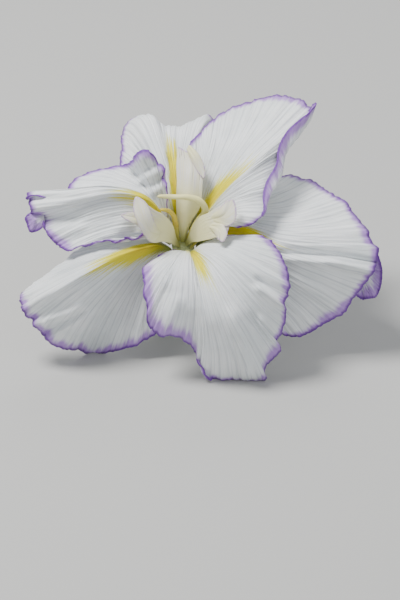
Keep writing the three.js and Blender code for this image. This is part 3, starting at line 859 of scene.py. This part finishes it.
CRESTS = {
    "style_arm_top": [
        {
            "midrib": [[2.6, 45.4, 31.8], [6, 39.6, 31.8], [9.9, 30.6, 28.6]],
            "left": [[3.4, 45.6, 31.9], [6.6, 43, 32.6], [9.4, 38, 31.6], [10.4, 34, 30]],
            "right": [[2.4, 43.6, 31], [4, 39.6, 30.8], [6.2, 35.4, 29.8], [8.4, 32, 28.8]],
        },
    ],
    "style_arm_right": [
        {
            "midrib": [[13.5, 11.5, 24.6], [19.6, 13.6, 30.6], [23.2, 20.6, 34.6]],
            "left": [[13, 12.8, 25.2], [17, 16.2, 30.4], [20.4, 19.8, 33.8]],
            "right": [[14.2, 10.2, 24.4], [20.4, 8.2, 28.2], [24.2, 10.4, 30.6], [24.8, 15.6, 33]],
        },
        {
            "midrib": [[13, 8.4, 22.8], [17.4, 6, 26.4], [18.6, 0.8, 25.6]],
            "left": [[13.6, 9.2, 23.4], [18.8, 8.6, 27.8], [20.6, 4.4, 27.2]],
            "right": [[12.6, 7.4, 22.2], [15.4, 4.4, 24.6], [16.8, 1.8, 25]],
        },
    ],
    "style_arm_left": [
        {
            "midrib": [[-11, 4.6, 20], [-15.6, 6.6, 26.4], [-18.6, 13, 32.4], [-21.8, 21.6, 36.4]],
            "left": [
                [-10.6, 6, 20.4], [-13, 9.4, 27.4], [-14.6, 13.8, 32.6], [-16.6, 18.4, 35.4],
                [-19.4, 21, 36.6],
            ],
            "right": [
                [-11.6, 3.2, 19.6], [-14.6, 0.8, 21.6], [-18.2, 4.6, 26], [-21, 10.4, 31],
                [-22.8, 16.8, 34.8],
            ],
        },
        {
            "midrib": [[-15, 10, 25.4], [-21, 11.8, 28.4], [-28.6, 13.2, 30.6]],
            "left": [[-15.2, 11.4, 26], [-20.4, 14.4, 29.6], [-25.4, 14.6, 30.6]],
            "right": [[-14.8, 8.8, 24.8], [-19.6, 8.6, 26.8], [-24.4, 10.2, 28.8]],
        },
    ],
}


def add_style(name, blade, node, seed, crest_from, above=0.0):
    """A style arm or a lobe of its crest, which starts so far above the arm's foot."""
    frill = waves(blade.t, seed, [(9, 0.30), (21, 0.22), (44, 0.10)])
    blade.push(blade.room * frill * blade.s**4)
    crest = smooth(blade.along, crest_from, crest_from + 12)
    facts = {
        "ribs": np.stack([blade.t, blade.s, crest], axis=-1),
        "span": np.stack([blade.margin, blade.along + above, crest], axis=-1),
    }
    share = 0.35 + 0.65 * (1 - smooth(blade.s, 0.3, 1.0))
    skin(name, blade.points, facts, style_skin, node, thick=STYLE_THICK, thick_share=share)


for seed, (node, stations) in enumerate(STYLE_ARMS.items()):
    add_style(node + "_skin", Loft(stations), node, 200 + seed, 24)
    for k, lobe in enumerate(CRESTS[node]):
        outline = (lobe["midrib"], lobe["left"], lobe["right"])
        blade = Blade(*outline, CREST_FOOT, CREST_CAMBER, columns=90, rows=26)
        add_style(f"{node}_crest_{k + 1}", blade, node, 210 + 7 * seed + k, 2, 18)


# Round organs: stamens, tube, ovary and stem.


def round_points(centre, radius, columns, rows):
    """Points round a curve, with the radius that the function gives for each share and angle."""
    share = np.linspace(0, 1, rows + 1)
    middle = centre(share)
    ahead = unit(np.gradient(middle, axis=0))
    side = np.zeros_like(ahead)
    side[0] = unit(np.cross(ahead[0], [0.3, 0.9, 0.1]))
    for i in range(1, len(side)):
        side[i] = unit(side[i - 1] - ahead[i] * (side[i - 1] @ ahead[i]))
    front = np.cross(ahead, side)
    angle = np.linspace(0, 2 * math.pi, columns + 1)[:, None]
    wide = radius(share[None, :], angle)
    points = middle[None] + (np.cos(angle) * wide)[..., None] * side[None]
    points = points + (np.sin(angle) * wide)[..., None] * front[None]
    facts = {"ribs": np.stack(np.broadcast_arrays(angle / (2 * math.pi), share[None, :], wide), axis=-1)}
    return points, facts


def down_axis(start, end):
    return lambda share: -(start + (end - start) * share)[:, None] * AXIS[None]


def rounded_ends(share, soft):
    def rounded(far):
        return np.sqrt(np.clip(1 - (1 - np.clip(far / soft, 0, 1)) ** 2, 0, 1))

    return rounded(share) * rounded(1 - share)


STAMENS = {
    "stamen_top": (
        pale_stamen,
        1.7,
        [[2.1, 2, -1], [3.9, 6, 6.3], [7.6, 11.2, 15.6], [10.3, 16, 22.3], [8, 20, 26.5], [3, 21.6, 28.6],
         [-5, 22, 29], [-12, 22.2, 29.7]],
    ),
    "stamen_left": (
        gold_stamen,
        1.4,
        [[-1.9, 2.1, -1], [-3.2, 6.2, 5.6], [-3.7, 10.4, 13], [-4.4, 13.4, 18], [-6.8, 15.6, 21.3],
         [-10.8, 16.2, 23]],
    ),
    "stamen_right": (
        gold_stamen,
        1.15,
        [[3.3, -1.6, -1], [7, 2.4, 5.6], [11.5, 8.8, 14.8], [17, 14, 23.3], [22, 19.3, 26.5]],
    ),
}

for seed, (node, (finish, thickness, path)) in enumerate(STAMENS.items()):
    run = Run(path)

    def stamen_radius(share, angle, thickness=thickness, seed=seed):
        body = thickness * (0.5 + 0.5 * np.sin(math.pi * share**0.8))
        groove = 1 - 0.16 * np.exp(-((np.sin(angle / 2) / 0.35) ** 2)) * smooth(share, 0.3, 0.5)
        bumps = 1 + 0.05 * np.sin(9 * share * math.pi + 2 * angle + seed)
        return body * groove * bumps * rounded_ends(share, 0.04)

    points, facts = round_points(run.at, stamen_radius, 28, 90)
    skin(node + "_skin", points, facts, finish, node, closed=True)


def tube_radius(share, angle):
    flare = 3.4 + 2.2 * (1 - share) ** 2
    return flare * (1 + 0.035 * np.cos(6 * angle)) * rounded_ends(share, 0.03)


points, facts = round_points(down_axis(*TUBE_SPAN), tube_radius, 72, 60)
skin("floral_tube_skin", points, facts, tube_skin, "floral_tube", closed=True)


def ovary_radius(share, angle):
    swell = 0.72 + 0.28 * np.sin(math.pi * np.minimum(1, share * 1.05)) ** 0.7
    grooves = 1 + 0.07 * np.cos(3 * angle) - 0.035 * np.abs(np.cos(3 * angle)) ** 12
    return 4.4 * swell * grooves * rounded_ends(share, 0.05)


points, facts = round_points(down_axis(*OVARY_SPAN), ovary_radius, 72, 70)
skin("ovary_skin", points, facts, ovary_skin, "ovary", closed=True)


def stem_radius(share, angle):
    node_ring = 0.35 * np.exp(-(((share - 0.62) / 0.05) ** 2))
    body = 2.6 + 0.6 * np.minimum(1, share * 1.6) + node_ring
    return body * (1 + 0.02 * np.cos(9 * angle)) * np.sqrt(np.clip(share / 0.03, 0, 1))


points, facts = round_points(down_axis(*STEM_SPAN), stem_radius, 60, 60)
stem = skin("stem_skin", points, facts, stem_skin, "stem")

# The stem is cut off level just above the surface, and the cut is closed with a face of its own.
trimmed = bmesh.new()
trimmed.from_mesh(stem.data)
bmesh.ops.remove_doubles(trimmed, verts=trimmed.verts, dist=SEAM)
geometry = [*trimmed.verts, *trimmed.edges, *trimmed.faces]
cut = (0, 0, STEM_CUT_HEIGHT)
bmesh.ops.bisect_plane(trimmed, geom=geometry, plane_co=cut, plane_no=(0, 0, -1), clear_outer=True)
open_edges = [edge for edge in trimmed.edges if edge.is_boundary]
cap = bmesh.ops.holes_fill(trimmed, edges=open_edges, sides=0)
bmesh.ops.recalc_face_normals(trimmed, faces=trimmed.faces)
for face in cap["faces"]:
    face.material_index = 1
    face.smooth = False
trimmed.to_mesh(stem.data)
trimmed.free()
stem.data.materials.append(cut_skin)


def add_bract(name, node, turn, low, high, clear, seed):
    columns, rows = 80, 90
    t = np.linspace(-1, 1, columns + 1)[:, None]
    s = np.linspace(0, 1, rows + 1)[None, :]
    depth = low + (high - low) * s
    half = math.radians(80) * (1 - s**3)
    bulge = np.sin(math.pi * np.minimum(1, s * 1.15)) ** 2
    wide = 3.2 + clear + 2.3 * bulge + 3.2 * s**3 + 0.12 * waves(t, seed, [(14, 1.0), (31, 0.6)]) * s
    wide = wide + 0.5 * np.exp(-((t / 0.1) ** 2)) * s
    angle = math.radians(turn) + t * half
    across = np.array([1.0, 0.0, 0.0])
    back = np.cross(AXIS, across)
    points = -depth[..., None] * AXIS + (wide * np.cos(angle))[..., None] * across
    points = points + (wide * np.sin(angle))[..., None] * back
    margin = (1 - np.abs(t)) * half * wide
    t_full, s_full = np.broadcast_to(t, wide.shape), np.broadcast_to(s, wide.shape)
    facts = {
        "ribs": np.stack([t_full, s_full, wide], axis=-1),
        "span": np.stack([margin, 30 * s_full, wide], axis=-1),
    }
    skin(name, points, facts, leaf_skin, node, thick=BRACT_THICK)


add_bract("bract_outer_skin", "bract_outer", -60, 49, 12, 0.8, 31)
add_bract("bract_inner_skin", "bract_inner", 120, 45, 16, 0.8, 32)

# Floor, light and camera.

floor_mesh = bpy.data.meshes.new("floor")
floor_build = bmesh.new()
bmesh.ops.create_grid(floor_build, x_segments=1, y_segments=1, size=4)
floor_build.to_mesh(floor_mesh)
floor_build.free()
floor = bpy.data.objects.new("floor", floor_mesh)
bpy.context.scene.collection.objects.link(floor)
floor_material = bpy.data.materials.new("plain floor")
floor_material.use_nodes = True
floor_surface = floor_material.node_tree.nodes["Principled BSDF"]
floor_surface.inputs["Base Color"].default_value = (0.46, 0.46, 0.45, 1)
floor_surface.inputs["Roughness"].default_value = 0.9
floor_mesh.materials.append(floor_material)


BLOOM_MIDDLE = (0, 0, 0.05)


def add_light(name, place_at, size, power, color):
    light = bpy.data.lights.new(name, "AREA")
    light.shape = "DISK"
    light.size = size
    light.energy = power
    light.color = color
    lamp = bpy.data.objects.new(name, light)
    bpy.context.scene.collection.objects.link(lamp)
    lamp.location = place_at
    lamp.rotation_euler = (Vector(BLOOM_MIDDLE) - Vector(place_at)).to_track_quat("-Z", "Y").to_euler()


add_light("key light", (-0.5, -0.05, 1.2), 0.45, 24, (1.0, 0.99, 0.97))
add_light("fill light", (0.9, -0.9, 0.7), 1.2, 4, (0.95, 0.97, 1.0))
add_light("back light", (0.3, 1.0, 0.8), 0.9, 4, (1.0, 1.0, 1.0))
world = bpy.data.worlds.new("soft room")
world.use_nodes = True
world.node_tree.nodes["Background"].inputs["Color"].default_value = (0.93, 0.96, 1.0, 1)
world.node_tree.nodes["Background"].inputs["Strength"].default_value = 0.55
bpy.context.scene.world = world

VIEW_HEIGHT = 0.2832
LENS = 180.0
SENSOR = 36.0
AIM = Vector((8.0, -26.0, 0.0))
camera_data = bpy.data.cameras.new("camera")
camera_data.lens = LENS
camera_data.sensor_width = SENSOR
camera_data.clip_end = 20
camera = bpy.data.objects.new("camera", camera_data)
bpy.context.scene.collection.objects.link(camera)
distance = VIEW_HEIGHT * LENS / SENSOR
target = TO_FRAME @ AIM
toward = (TO_FRAME.to_3x3() @ Vector((0, 0, 1))).normalized()
camera.location = target + toward * distance
camera.rotation_euler = (-toward).to_track_quat("-Z", "Y").to_euler()
bpy.context.scene.camera = camera
